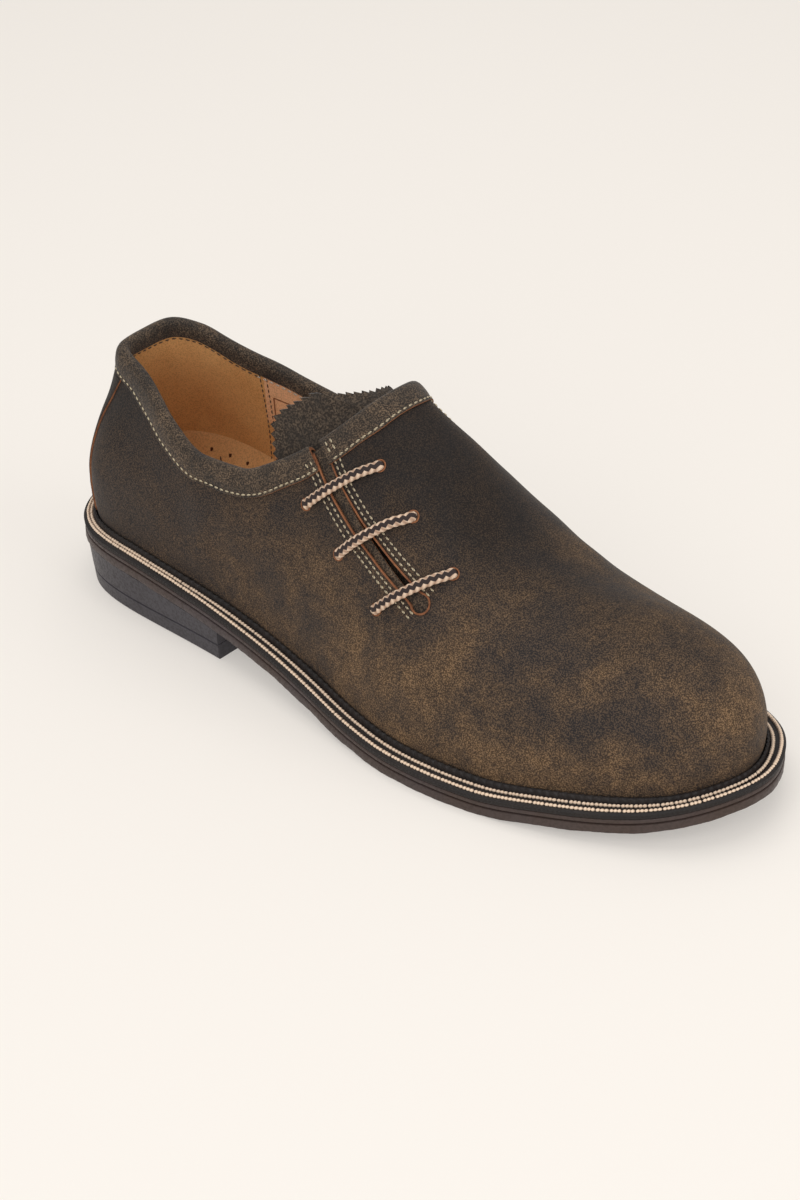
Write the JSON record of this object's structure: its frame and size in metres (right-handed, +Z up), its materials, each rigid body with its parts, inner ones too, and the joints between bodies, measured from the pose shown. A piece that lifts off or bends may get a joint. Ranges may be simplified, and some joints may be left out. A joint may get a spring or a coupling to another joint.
{
  "type": "traditional side-lacing shoe",
  "caption": "Low leather shoe, empty and laced over a curved slot in its outer side, with a bound collar, storm welt, layered sole and stacked heel.",
  "frame": {"origin": "on the floor, under the middle of the shoe's outline", "axes": "+X from the heel to the toe, +Y to the inner (medial) side, +Z up"},
  "size_m": [0.3025, 0.1061, 0.1083],
  "materials": {
    "upper": "waxed nubuck, mottled",
    "collar_binding": "matte, speckled",
    "tongue": "fuzzy suede",
    "insole": "smooth, perforated",
    "welt": "waxed, stitched",
    "midsole": "smooth edge",
    "outsole": "matte",
    "heel_block": "waxed edge",
    "heel_top_lift": "matte",
    "lace": "braided cord"
  },
  "bodies": {
    "root": {"upper": "upper", "collar_binding": "collar_binding", "tongue": "tongue", "insole": "insole", "welt": "welt", "midsole": "midsole", "outsole": "outsole", "heel_block": "heel_block", "heel_top_lift": "heel_top_lift", "lace": "lace"}
  },
  "joints": []
}
